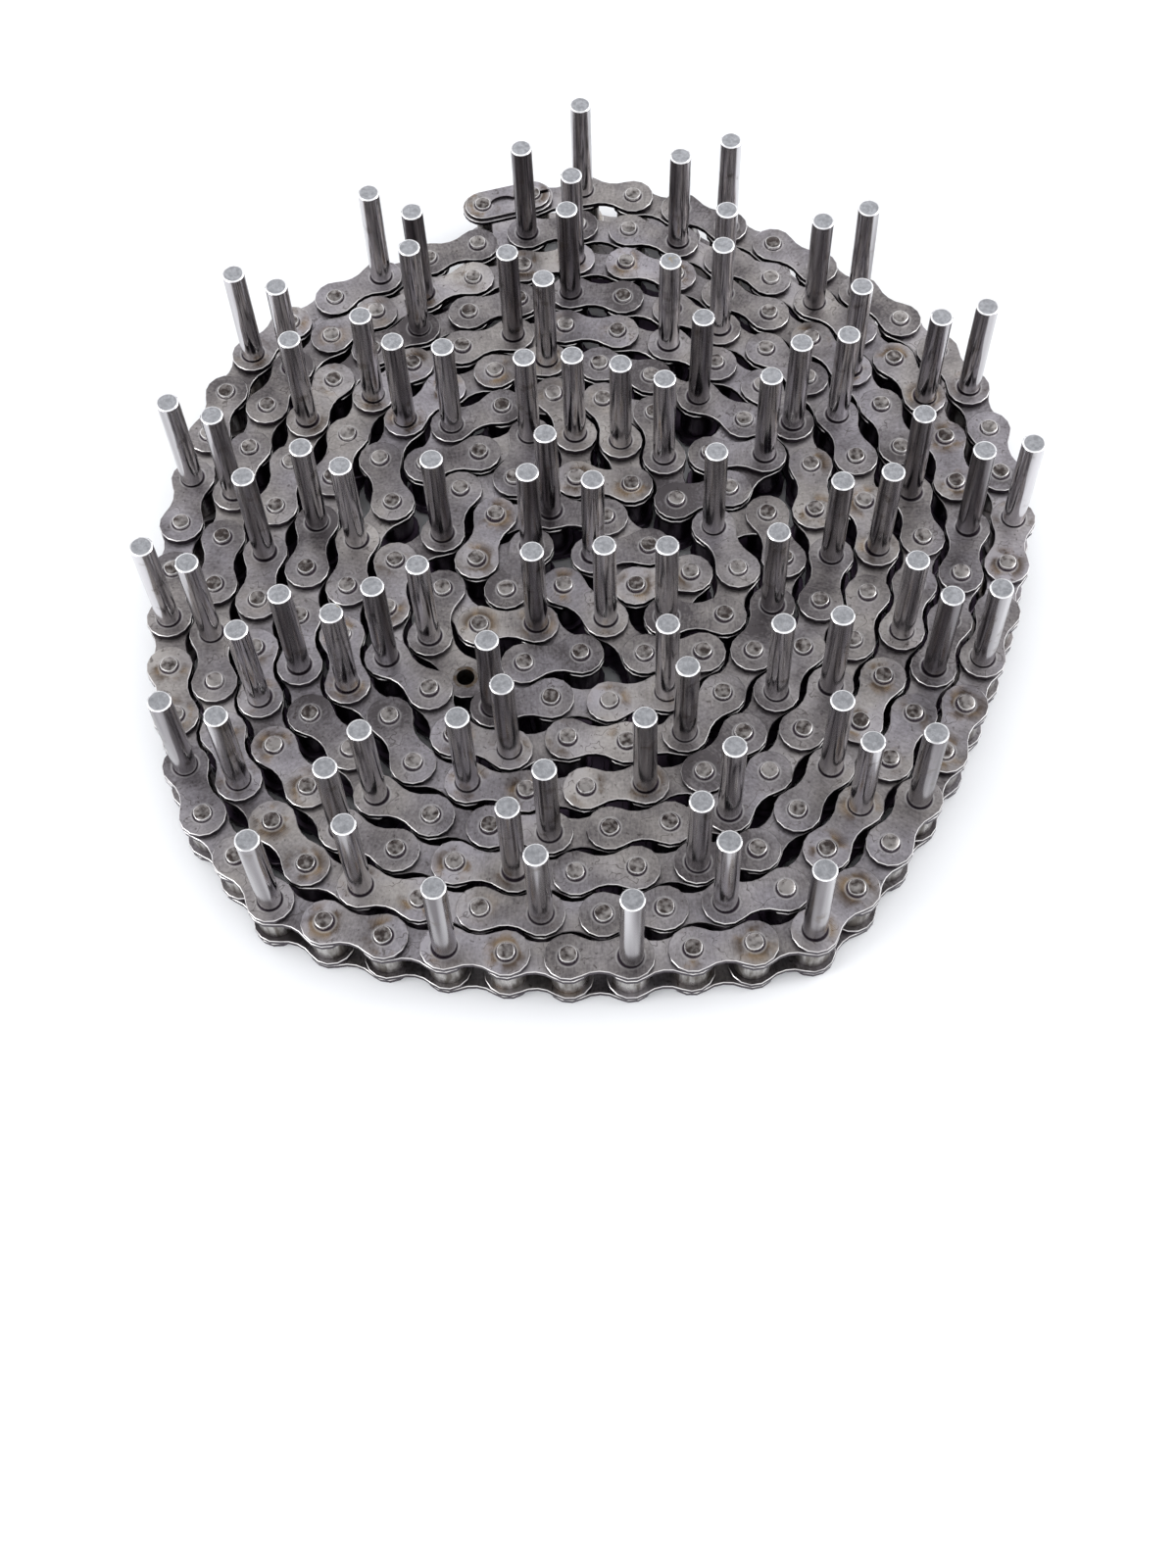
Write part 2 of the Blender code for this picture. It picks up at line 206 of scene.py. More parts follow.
def lay(name, piece, places, finish, body, height=0.0, lean=0.0, seed=1):
    """One mesh of the piece laid at this height over every place, riding on a body."""
    spots = bpy.data.meshes.new(name + "_places")
    spots.from_pydata([tuple(place["spot"]) for place in places], [], [])
    for key in ("heading", "tone", "oil", "long_first", "long_last"):
        values = spots.attributes.new(key, "FLOAT", "POINT")
        values.data.foreach_set("value", [place.get(key, 0.0) for place in places])
    holder = bpy.data.objects.new(name + "_holder", spots)
    bpy.context.scene.collection.objects.link(holder)
    modifier = holder.modifiers.new("lay", "NODES")
    modifier.node_group = LAYING
    modifier[SOCKETS["Piece"]] = piece
    modifier[SOCKETS["Finish"]] = finish
    modifier[SOCKETS["Height"]] = height
    modifier[SOCKETS["Lean"]] = lean
    modifier[SOCKETS["Seed"]] = seed
    graph = bpy.context.evaluated_depsgraph_get()
    mesh = bpy.data.meshes.new_from_object(
        holder.evaluated_get(graph), preserve_all_data_layers=True, depsgraph=graph
    )
    mesh.name = name
    bpy.data.objects.remove(holder)
    result = bpy.data.objects.new(name, mesh)
    bpy.context.scene.collection.objects.link(result)
    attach(result, body)
    return result


def pins_at(numbers):
    """A place for a round piece at each of these pins, each turned another way."""
    return [
        {
            "spot": pins[k],
            "heading": math.tau * tones[k],
            "tone": tones[LAST_PIN - k],
            # flag for pieces inside the coil, which get painted shade with oil
            "oil": float(k > FIRST_TURN_PINS),
        }
        for k in numbers
    ]


def pattern(name, shape):
    """A shape to be laid: shaded smooth between sharp edges, and remembering its own places."""
    bmesh.ops.recalc_face_normals(shape, faces=shape.faces)
    mesh = bpy.data.meshes.new(name)
    shape.to_mesh(mesh)
    shape.free()
    mesh.shade_smooth()
    mesh.set_sharp_from_angle(angle=SMOOTH_ANGLE)
    own = np.empty(len(mesh.vertices) * 3)
    mesh.vertices.foreach_get("co", own)
    places = mesh.attributes.get("own") or mesh.attributes.new("own", "FLOAT_VECTOR", "POINT")
    places.data.foreach_set("vector", own)
    item = bpy.data.objects.new(name, mesh)
    bpy.context.scene.collection.objects.link(item)
    return item


def turned(name, profile, sides, hollow=False, squareness=0.0):
    """A round piece from its outline of radius and height, closed by its ends or by a bore."""
    shape = bmesh.new()
    rings = []
    for radius, height in profile:
        ring = []
        for k in range(sides):
            angle = math.tau * k / sides
            reach = radius * (1.0 + squareness * math.cos(4.0 * angle))
            ring.append(shape.verts.new((reach * math.cos(angle), reach * math.sin(angle), height)))
        rings.append(ring)
    pairs = list(zip(rings, rings[1:]))
    if hollow:
        pairs.append((rings[-1], rings[0]))
    else:
        shape.faces.new(rings[0])
        shape.faces.new(rings[-1])
    for low, high in pairs:
        for k in range(sides):
            after = (k + 1) % sides
            shape.faces.new([low[k], low[after], high[after], high[k]])
    return pattern(name, shape)


def bare_steel(name, colour, roughness):
    """A bare metal material, with its nodes, the call that joins them and its shader."""
    material = bpy.data.materials.new(name)
    material.use_nodes = True
    nodes = material.node_tree.nodes
    shader = nodes["Principled BSDF"]
    shader.inputs["Base Color"].default_value = colour
    shader.inputs["Metallic"].default_value = 1.0
    shader.inputs["Roughness"].default_value = roughness
    return material, nodes, material.node_tree.links.new, shader


def noise(nodes, link, vector, grain):
    """Noise over the given places, from 0 to 1, of this scale and this number of octaves."""
    texture = nodes.new("ShaderNodeTexNoise")
    for name, value in zip(("Scale", "Detail"), grain):
        texture.inputs[name].default_value = value
    link(vector, texture.inputs["Vector"])
    return texture.outputs["Fac"]


def ramp(nodes, link, value, marks, levels=(0.0, 1.0)):
    """The value stretched between two marks to reach two levels."""
    node = nodes.new("ShaderNodeMapRange")
    names = ("From Min", "From Max", "To Min", "To Max")
    for name, limit in zip(names, marks + levels):
        node.inputs[name].default_value = limit
    link(value, node.inputs["Value"])
    return node.outputs["Result"]


def blend(nodes, link, share, one, other):
    """One colour passing into another."""
    node = nodes.new("ShaderNodeMix")
    node.data_type = "RGBA"
    link(share, node.inputs["Factor"])
    for socket, value in ((node.inputs["A"], one), (node.inputs["B"], other)):
        if isinstance(value, tuple):
            socket.default_value = value
        else:
            link(value, socket)
    return node.outputs["Result"]


def bush_finish():
    """Dull curled steel with brown marks."""
    material, nodes, link, shader = bare_steel("bush_steel", BUSH_COLOUR, roughness=0.4)
    place = nodes.new("ShaderNodeTexCoord").outputs["Object"]
    worn = noise(nodes, link, place, BUSH_GRAIN)
    marks = ramp(nodes, link, worn, BUSH_MARKS)
    link(blend(nodes, link, marks, BUSH_COLOUR, BUSH_STAIN), shader.inputs["Base Color"])
    link(ramp(nodes, link, worn, NOISE_SPAN, BUSH_ROUGHNESS), shader.inputs["Roughness"])
    return material


bush_length = UPPER_INNER[1] - LOWER_INNER[0]
bush_profile = (
    (BUSH_BORE, 0.0),
    (BUSH_RADIUS, 0.0),
    (BUSH_RADIUS, bush_length),
    (BUSH_BORE, bush_length),
)
bush_steel = bush_finish()
bush_shape = turned("bush", bush_profile, BUSH_SIDES, hollow=True)
coil_joints = pins_at(range(3, LAST_PIN + 1))
end_joints = pins_at((1, 2))
lay("bushes", bush_shape, coil_joints, bush_steel, "coil", LOWER_INNER[0])
lay("end_bushes", bush_shape, end_joints, bush_steel, "inner_link", LOWER_INNER[0])
bpy.data.objects.remove(bush_shape)

# Rollers, one free to turn on each bush. They are short sleeves with chamfered ends, and the sides
# that show in the outer turn are worn bright in upright bands.
ROLLER_RADIUS = 0.006035
ROLLER_BORE = 0.0043
ROLLER_SPAN = (0.00565, 0.01705)
ROLLER_SIDES = 18
ROLLER_CHAMFER = 0.0004
DARK_ROLLER = (0.13, 0.115, 0.10, 1.0)
PALE_ROLLER = (0.47, 0.455, 0.44, 1.0)
# near-black purple: painted shade, with oil, for pieces inside the coil
OIL_AND_SHADE_COLOUR = (0.055, 0.036, 0.064, 1.0)
OIL_AND_SHADE_SHARE = 0.85
ROLLER_STRETCH = (1.0, 1.0, 0.2)
ROLLER_GRAIN = (420.0, 5.0)
ROLLER_MARKS = (0.40, 0.60)
ROLLER_ROUGHNESS = (0.42, 0.24)


def figure(nodes, link, operation, one, other):
    """A sum, product or other figure of two values."""
    node = nodes.new("ShaderNodeMath")
    node.operation = operation
    for socket, value in zip(node.inputs, (one, other)):
        if isinstance(value, float):
            socket.default_value = value
        else:
            link(value, socket)
    return node.outputs["Value"]


def kept(nodes, name, output):
    """A value kept on the mesh."""
    node = nodes.new("ShaderNodeAttribute")
    node.attribute_name = name
    return node.outputs[output]


def stretched(nodes, link, vector, scale):
    """The places scaled, so that a pattern over them is longer where the scale is small."""
    node = nodes.new("ShaderNodeMapping")
    node.inputs["Scale"].default_value = scale
    link(vector, node.inputs["Vector"])
    return node.outputs["Vector"]


def roller_finish():
    """Worn bright steel with brown upright streaks, and painted shade, near black as with oil, inside
    the coil.
    """
    material, nodes, link, shader = bare_steel("roller_steel", PALE_ROLLER, roughness=0.3)
    place = nodes.new("ShaderNodeTexCoord").outputs["Object"]
    worn = noise(nodes, link, stretched(nodes, link, place, ROLLER_STRETCH), ROLLER_GRAIN)
    colour = blend(nodes, link, ramp(nodes, link, worn, ROLLER_MARKS), DARK_ROLLER, PALE_ROLLER)
    # painted shade with oil: rollers past the outer turn are darkened towards near black
    oil = figure(nodes, link, "MULTIPLY", kept(nodes, "oil", "Fac"), OIL_AND_SHADE_SHARE)
    link(blend(nodes, link, oil, colour, OIL_AND_SHADE_COLOUR), shader.inputs["Base Color"])
    link(ramp(nodes, link, worn, NOISE_SPAN, ROLLER_ROUGHNESS), shader.inputs["Roughness"])
    return material


roller_length = ROLLER_SPAN[1] - ROLLER_SPAN[0]
roller_profile = (
    (ROLLER_BORE, 0.0),
    (ROLLER_RADIUS - ROLLER_CHAMFER, 0.0),
    (ROLLER_RADIUS, ROLLER_CHAMFER),
    (ROLLER_RADIUS, roller_length - ROLLER_CHAMFER),
    (ROLLER_RADIUS - ROLLER_CHAMFER, roller_length),
    (ROLLER_BORE, roller_length),
)
roller_steel = roller_finish()
roller_shape = turned("roller", roller_profile, ROLLER_SIDES, hollow=True)
lay("rollers", roller_shape, coil_joints, roller_steel, "coil", ROLLER_SPAN[0])
lay("end_rollers", roller_shape, end_joints, roller_steel, "inner_link", ROLLER_SPAN[0])
bpy.data.objects.remove(roller_shape)

# Inner plates, two for each inner link, pressed on the ends of the bushes. They are punched from
# sheet with round ends and a waist, and tumbled, so the upper edge is rolled and bright. In the
# last link of the chain no pin fills the far bush, so its hole shows.
INNER_RADIUS = 0.0077
WAIST_HALF = 0.0050
EDGE_ROLL = 0.00022
END_STEPS = 10
WAIST_STEPS = 4
PLATE_LEAN = math.radians(0.3)
HOLE_SIDES = 24
LONG_STEP = 3
LONG_PLACE = 2
# near-black purple painted shade for the plate sides and the contact line round the pins
SIDE_SHADE_COLOUR = (0.042, 0.032, 0.042, 1.0)
DARK_PLATE = (0.100, 0.090, 0.094, 1.0)
COOL_PLATE = (0.410, 0.388, 0.418, 1.0)
WARM_PLATE = (0.435, 0.406, 0.388, 1.0)
# bright colour for the worn rolled edges, and for the painted highlight ring round the pins
WORN_EDGE_AND_HIGHLIGHT_COLOUR = (0.58, 0.565, 0.56, 1.0)
STAIN_COLOUR = (0.075, 0.048, 0.028, 1.0)
RUST_COLOUR = (0.225, 0.155, 0.090, 1.0)
SPECK_COLOUR = (0.050, 0.040, 0.036, 1.0)
BROAD_GRAIN = (75.0, 4.0)
FINE_GRAIN = (950.0, 6.0)
FINE_SHARE = 0.5
LINE_STRETCH = (1.0, 0.09, 1.0)
LINE_GRAIN = (3000.0, 3.0)
LINE_SHARE = 0.3
TONE_SHARE = 0.34
# how far the painted reflection along a plate may lighten or darken it
REFLECTION_SWING = (-0.22, 0.22)
MOTTLE_MARKS = (0.78, 1.38)
WARM_GRAIN = (32.0, 3.0)
WARM_MARKS = (0.40, 0.60)
SPECK_GRAIN = (620.0, 2.0)
SPECK_MARKS = (0.66, 0.70)
SPECK_SHARE = 0.55
HAIR_GRAIN = (130.0, 2.0)
HAIR_WIDTH = (0.010, 0.004)
HAIR_PATCHES = (0.52, 0.58)
HAIR_SHARE = 0.6
STAIN_REACH = (0.0078, 0.0045)
STAIN_GRAIN = (125.0, 5.0)
STAIN_MARKS = (0.47, 0.58)
STAIN_SHARE = 0.85
STAIN_SHINE = 0.12
RUST_GRAIN = (150.0, 4.0)
RUST_MARKS = (0.46, 0.60)
# reach of the painted contact shadow round each pin, and of the painted highlight ring just outside
# it
CONTACT_REACH = 0.0033
CONTACT_SHADOW_EDGE = (CONTACT_REACH + 0.0002, CONTACT_REACH - 0.0002)
RING_HIGHLIGHT_EDGE = (CONTACT_REACH + 0.0008, CONTACT_REACH + 0.0003)
RING_HIGHLIGHT_SHARE = 0.35
FOOT_STEP = 0.0009
ROLL_FACING = (0.97, 0.85)
EDGE_GRAIN = (260.0, 3.0)
EDGE_MARKS = (0.35, 0.6)
EDGE_WEAR = (0.45, 1.0)
# heights below which plates inside the coil get painted shade with oil
LOW_SHADE_HEIGHTS = (UPPER_INNER[0] - 0.001, UPPER_INNER[0] - 0.003)
LOW_SHADE_SHARE = 0.9
PLATE_ROUGHNESS = (0.30, 0.46)
PLATE_RELIEF = (0.16, 0.00008)


def plate_outline(radius):
    """Round ends joined by hollow arcs that meet them smoothly, from pin to pin along X."""
    half = PITCH / 2.0
    hollow = (half**2 + WAIST_HALF**2 - radius**2) / (2.0 * (radius - WAIST_HALF))
    meet = math.atan2(WAIST_HALF + hollow, half)
    points = []
    for centre, facing, side in ((PITCH, 0.0, 1.0), (0.0, math.pi, -1.0)):
        for k in range(END_STEPS + 1):
            angle = facing + (math.pi - meet) * (2.0 * k / END_STEPS - 1.0)
            points.append((centre + radius * math.cos(angle), radius * math.sin(angle)))
        for k in range(1, WAIST_STEPS):
            angle = side * math.pi / 2.0 + (math.pi / 2.0 - meet) * (1.0 - 2.0 * k / WAIST_STEPS)
            x = half - hollow * math.cos(angle)
            points.append((x, side * (WAIST_HALF + hollow) - hollow * math.sin(angle)))
    return points


def stamped(name, outline, thickness):
    """A plate with its lower face at zero and a rolled upper edge."""
    shape = bmesh.new()
    rim = [shape.verts.new((x, y, 0.0)) for x, y in outline]
    base = shape.faces.new(rim)
    lifted = bmesh.ops.extrude_face_region(shape, geom=[base], use_keep_orig=True)
    raised = [item for item in lifted["geom"] if isinstance(item, bmesh.types.BMVert)]
    bmesh.ops.translate(shape, verts=raised, vec=(0.0, 0.0, thickness))
    tops = set(raised)
    edges = [e for e in shape.edges if e.verts[0] in tops and e.verts[1] in tops]
    bmesh.ops.bevel(shape, geom=edges, offset=EDGE_ROLL, segments=1, affect="EDGES")
    return pattern(name, shape)


def punched(blank, tools):
    """The blank with these tools' shapes cut out of it."""
    for tool in tools:
        cut = blank.modifiers.new("cut", "BOOLEAN")
        cut.operation = "DIFFERENCE"
        cut.object = tool
    graph = bpy.context.evaluated_depsgraph_get()
    mesh = bpy.data.meshes.new_from_object(blank.evaluated_get(graph))
    name = blank.name
    for item in tools + [blank]:
        bpy.data.objects.remove(item)
    shape = bmesh.new()
    shape.from_mesh(mesh)
    return pattern(name + "_punched", shape)


def hole_punch(x, radius, wide=1.0):
    """A round or oval punch through the plate at this place."""
    shape = bmesh.new()
    bmesh.ops.create_cone(
        shape, cap_ends=True, segments=HOLE_SIDES, radius1=radius, radius2=radius, depth=PITCH
    )
    bmesh.ops.scale(shape, verts=shape.verts, vec=(wide, 1.0, 1.0))
    bmesh.ops.translate(shape, verts=shape.verts, vec=(x, 0.0, 0.0))
    return pattern("punch", shape)


def split(nodes, link, vector):
    """The three parts of a place or a direction."""
    node = nodes.new("ShaderNodeSeparateXYZ")
    link(vector, node.inputs["Vector"])
    return node.outputs


def flattened(nodes, link, parts):
    """A place with its height taken out."""
    node = nodes.new("ShaderNodeCombineXYZ")
    for axis in ("X", "Y"):
        link(parts[axis], node.inputs[axis])
    return node.outputs["Vector"]


def upness(nodes, link):
    """How far the surface faces up, from 0 for a wall to 1 for a level face."""
    return split(nodes, link, nodes.new("ShaderNodeNewGeometry").outputs["Normal"])["Z"]


def relief(nodes, link, shader, height, relief_size):
    """Fine relief of this strength and depth."""
    bump = nodes.new("ShaderNodeBump")
    for name, value in zip(("Strength", "Distance"), relief_size):
        bump.inputs[name].default_value = value
    link(height, bump.inputs["Height"])
    link(bump.outputs["Normal"], shader.inputs["Normal"])


def plate_finish(name, thickness, stained):
    """Satin oiled steel: mottled faces, bright edges, painted shade on the sides, brown oil on a
    share of plates.
    """
    material, nodes, link, shader = bare_steel(name, COOL_PLATE, roughness=0.38)
    place = nodes.new("ShaderNodeTexCoord").outputs["Object"]
    own = kept(nodes, "own", "Vector")
    across = split(nodes, link, own)
    tone = kept(nodes, "tone", "Fac")
    broad = noise(nodes, link, place, BROAD_GRAIN)
    fine = noise(nodes, link, place, FINE_GRAIN)
    lines = noise(nodes, link, stretched(nodes, link, own, LINE_STRETCH), LINE_GRAIN)
    mottle = broad
    for layer, share in ((fine, FINE_SHARE), (lines, LINE_SHARE), (tone, TONE_SHARE)):
        mottle = figure(nodes, link, "ADD", mottle, figure(nodes, link, "MULTIPLY", layer, share))
    # painted reflection: each plate lighter towards one end and darker towards the other, by its own
    # tone
    reflection_slope = ramp(nodes, link, across["X"], (0.0, PITCH), (-0.5, 0.5))
    reflection_swing = ramp(nodes, link, tone, (0.0, 1.0), REFLECTION_SWING)
    mottle = figure(nodes, link, "ADD", mottle, figure(nodes, link, "MULTIPLY", reflection_slope, reflection_swing))
    warmth = ramp(nodes, link, noise(nodes, link, place, WARM_GRAIN), WARM_MARKS)
    pale = blend(nodes, link, warmth, COOL_PLATE, WARM_PLATE)
    colour = blend(nodes, link, ramp(nodes, link, mottle, MOTTLE_MARKS), DARK_PLATE, pale)
    specks = ramp(nodes, link, noise(nodes, link, place, SPECK_GRAIN), SPECK_MARKS)
    specks = figure(nodes, link, "MULTIPLY", specks, SPECK_SHARE)
    colour = blend(nodes, link, specks, colour, SPECK_COLOUR)
    level = figure(nodes, link, "SUBTRACT", noise(nodes, link, place, HAIR_GRAIN), 0.5)
    hair = ramp(nodes, link, figure(nodes, link, "ABSOLUTE", level, 0.0), HAIR_WIDTH)
    patches = ramp(nodes, link, broad, HAIR_PATCHES, (0.0, HAIR_SHARE))
    hair = figure(nodes, link, "MULTIPLY", hair, patches)
    colour = blend(nodes, link, hair, colour, SPECK_COLOUR)

    # brown oil and rust round the two pins, a painted contact shadow as a dark line where their heads
    # or shoulders sit, and a painted highlight ring just outside it
    flat = flattened(nodes, link, across)
    reaches = []
    for x in (0.0, PITCH):
        gap = nodes.new("ShaderNodeVectorMath")
        gap.operation = "DISTANCE"
        link(flat, gap.inputs[0])
        gap.inputs[1].default_value = (x, 0.0, 0.0)
        reaches.append(gap.outputs["Value"])
    near = figure(nodes, link, "MINIMUM", reaches[0], reaches[1])
    ring = ramp(nodes, link, near, STAIN_REACH)
    blot = ramp(nodes, link, noise(nodes, link, place, STAIN_GRAIN), STAIN_MARKS)
    chosen = ramp(nodes, link, tone, (1.0 - stained, 1.1 - stained))
    stain = figure(nodes, link, "MULTIPLY", figure(nodes, link, "MULTIPLY", ring, blot), chosen)
    rusty = ramp(nodes, link, noise(nodes, link, place, RUST_GRAIN), RUST_MARKS)
    brown = blend(nodes, link, rusty, STAIN_COLOUR, RUST_COLOUR)
    share = figure(nodes, link, "MULTIPLY", stain, STAIN_SHARE)
    colour = blend(nodes, link, share, colour, brown)
    feet = []
    for reach, mark in zip(reaches, ("long_first", "long_last")):
        step = figure(nodes, link, "MULTIPLY", kept(nodes, mark, "Fac"), FOOT_STEP)
        feet.append(figure(nodes, link, "SUBTRACT", reach, step))
    near = figure(nodes, link, "MINIMUM", feet[0], feet[1])
    # painted highlight ring just outside each pin, then painted contact shadow as a dark line where
    # it meets the plate
    ring_highlight = figure(nodes, link, "MULTIPLY", ramp(nodes, link, near, RING_HIGHLIGHT_EDGE), RING_HIGHLIGHT_SHARE)
    colour = blend(nodes, link, ring_highlight, colour, WORN_EDGE_AND_HIGHLIGHT_COLOUR)
    colour = blend(nodes, link, ramp(nodes, link, near, CONTACT_SHADOW_EDGE), colour, SIDE_SHADE_COLOUR)

    # painted shade, near black, on the sides below, and a bright edge where the top rolls over
    edge_heights = (thickness - EDGE_ROLL * 1.2, thickness - EDGE_ROLL)
    edge = ramp(nodes, link, across["Z"], edge_heights)
    # painted shade: everything below the rolled top edge takes the near-black side colour
    colour = blend(nodes, link, edge, SIDE_SHADE_COLOUR, colour)
    rolled = ramp(nodes, link, upness(nodes, link), ROLL_FACING)
    worn = ramp(nodes, link, noise(nodes, link, place, EDGE_GRAIN), EDGE_MARKS, EDGE_WEAR)
    rolled = figure(nodes, link, "MULTIPLY", figure(nodes, link, "MULTIPLY", rolled, edge), worn)
    colour = blend(nodes, link, rolled, colour, WORN_EDGE_AND_HIGHLIGHT_COLOUR)

    # oil and painted shade, near black, low down on plates inside the coil
    low_shade = ramp(nodes, link, split(nodes, link, place)["Z"], LOW_SHADE_HEIGHTS)
    low_shade = figure(nodes, link, "MULTIPLY", low_shade, kept(nodes, "oil", "Fac"))
    low_shade = figure(nodes, link, "MULTIPLY", low_shade, LOW_SHADE_SHARE)
    link(blend(nodes, link, low_shade, colour, OIL_AND_SHADE_COLOUR), shader.inputs["Base Color"])

    rough = ramp(nodes, link, lines, NOISE_SPAN, PLATE_ROUGHNESS)
    shine = figure(nodes, link, "MULTIPLY", stain, STAIN_SHINE)
    link(figure(nodes, link, "SUBTRACT", rough, shine), shader.inputs["Roughness"])
    relief(nodes, link, shader, figure(nodes, link, "ADD", lines, fine), PLATE_RELIEF)
    return material


def is_long(k):
    """Whether this pin is a long one, which is every third."""
    return float(k % LONG_STEP == LONG_PLACE)


def links_at(first_pins, rises=(0.0,)):
    """A place for each plate of the links that start at these pins, one for each rise."""
    places = []
    for k in first_pins:
        along = pins[k + 1] - pins[k]
        turn = math.atan2(along.y, along.x)
        for rise in rises:
            place = {"spot": Vector((pins[k].x, pins[k].y, rise)), "heading": turn}
            # the flag for plates inside the coil, which get painted shade with oil
            place |= {"tone": tones[k], "oil": float(k > FIRST_TURN_PINS)}
            place |= {"long_first": is_long(k), "long_last": is_long(k + 1)}
            places.append(place)
    return places


inner_thickness = UPPER_INNER[1] - UPPER_INNER[0]
inner_steel = plate_finish("inner_plate_steel", inner_thickness, stained=0.25)
inner_shape = stamped("inner_plate", plate_outline(INNER_RADIUS), inner_thickness)
inner_pair = (0.0, UPPER_INNER[0] - LOWER_INNER[0])
full_links = links_at(range(3, LAST_PIN - 1, 2), inner_pair)
lay(
    "inner_plates", inner_shape, full_links, inner_steel, "coil", LOWER_INNER[0],
    lean=PLATE_LEAN, seed=2,
)
end_places = links_at([1], inner_pair)
end_inner = lay(
    "end_inner_plates", inner_shape, end_places, inner_steel, "inner_link", LOWER_INNER[0]
)
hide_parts("end_inner_link")
open_shape = punched(inner_shape, [hole_punch(PITCH, BUSH_RADIUS)])
last_places = links_at([LAST_PIN - 1], inner_pair)
lay("last_inner_plates", open_shape, last_places, inner_steel, "coil", LOWER_INNER[0])
bpy.data.objects.remove(open_shape)

# Short pins, two of every three. They pass through the bush, and each end is riveted over the outer
# plate into a low head, a little squarish from the hammering, dull on top with a painted highlight on
# its rim.
PIN_RADIUS = 0.00286
RIVET_TOP = 0.0227
HEAD_EDGE = 0.0003
HEAD_SIDES = 16
HEAD_SQUARENESS = 0.025
SHORT_LEAN = math.radians(0.6)
HEAD_DARK = (0.055, 0.045, 0.042, 1.0)
HEAD_PALE = (0.31, 0.29, 0.28, 1.0)
# near white: painted highlight on the rims of the heads
HEAD_RIM_HIGHLIGHT = (0.92, 0.91, 0.90, 1.0)
TOP_EDGE = HEAD_EDGE * 1.5
HEAD_GRAIN = (520.0, 5.0)
HEAD_TONE = 0.22
HEAD_MARKS = (0.48, 0.74)
RIM_FACING = (0.93, 0.80)
HEAD_ROUGHNESS = (0.24, 0.42)
HEAD_RELIEF = (0.5, 0.0002)


def head_finish():
    """Dull mottled top inside a rim with a painted highlight."""
    material, nodes, link, shader = bare_steel("rivet_steel", HEAD_PALE, roughness=0.35)
    worn = noise(nodes, link, nodes.new("ShaderNodeTexCoord").outputs["Object"], HEAD_GRAIN)
    tone = figure(nodes, link, "MULTIPLY", kept(nodes, "tone", "Fac"), HEAD_TONE)
    level = figure(nodes, link, "ADD", worn, tone)
    colour = blend(nodes, link, ramp(nodes, link, level, HEAD_MARKS), HEAD_DARK, HEAD_PALE)
    up = split(nodes, link, kept(nodes, "own", "Vector"))["Z"]
    # painted highlight: the head's sides and edge above the plate are painted near white
    proud = ramp(nodes, link, up, (UPPER_OUTER[1], UPPER_OUTER[1] + HEAD_EDGE))
    steep = ramp(nodes, link, upness(nodes, link), RIM_FACING)
    rim = figure(nodes, link, "MULTIPLY", steep, proud)
    link(blend(nodes, link, rim, colour, HEAD_RIM_HIGHLIGHT), shader.inputs["Base Color"])
    link(ramp(nodes, link, worn, NOISE_SPAN, HEAD_ROUGHNESS), shader.inputs["Roughness"])
    relief(nodes, link, shader, worn, HEAD_RELIEF)
    return material


rivet_steel = head_finish()
short_profile = (
    (PIN_RADIUS - HEAD_EDGE, 0.0),
    (PIN_RADIUS, HEAD_EDGE),
    (PIN_RADIUS, RIVET_TOP - HEAD_EDGE),
    (PIN_RADIUS - TOP_EDGE, RIVET_TOP),
)
short_shape = turned("short_pin", short_profile, HEAD_SIDES, squareness=HEAD_SQUARENESS)
short_pins = [k for k in range(4, LAST_PIN) if not is_long(k)]
short_places = pins_at(short_pins)
lay("short_pins", short_shape, short_places, rivet_steel, "coil", lean=SHORT_LEAN, seed=3)
lay("end_short_pin", short_shape, pins_at([3]), rivet_steel, "outer_link")
bpy.data.objects.remove(short_shape)

# Long pins, one of every three. Plain drawn bar, turned down below its shoulder to pass through the
# link, and cut off at the top with a bright chamfer round a dull blue-grey end.
LONG_RADIUS = 0.0038
LONG_TOP = 0.0632
LONG_CHAMFER = 0.0003
END_RIM = 0.0002
LONG_SHOULDER = 0.0004
SHOULDER_GAP = 0.0003
LONG_SIDES = 20
LONG_LEAN = math.radians(0.6)
SHAFT_DARK = (0.135, 0.122, 0.130, 1.0)
SHAFT_PALE = (0.64, 0.625, 0.64, 1.0)
SHAFT_STAIN = (0.12, 0.095, 0.075, 1.0)
CAP_DARK = (0.28, 0.285, 0.300, 1.0)
CAP_PALE = (0.41, 0.415, 0.435, 1.0)
CAP_STAIN = (0.30, 0.23, 0.11, 1.0)
CHAMFER_COLOUR = (0.86, 0.86, 0.87, 1.0)
BAND_STRETCH = (1.0, 1.0, 0.05)
BAND_GRAIN = (160.0, 2.0)
BAND_TONE = 0.2
BAND_MARKS = (0.38, 0.74)
BLOT_GRAIN = (170.0, 5.0)
BLOT_MARKS = (0.60, 0.70)
BLOT_SHARE = 0.6
RIM_GRAIN = (360.0, 3.0)
RIM_MARKS = (0.38, 0.56)
RIM_WEAR = (0.5, 1.0)
PIT_GRAIN = (800.0, 4.0)
PIT_MARKS = (0.35, 0.65)
YELLOW_TONES = (0.95, 0.97)
LONG_ROUGHNESS = (0.26, 0.12)
LONG_RELIEF = (0.06, 0.0001)


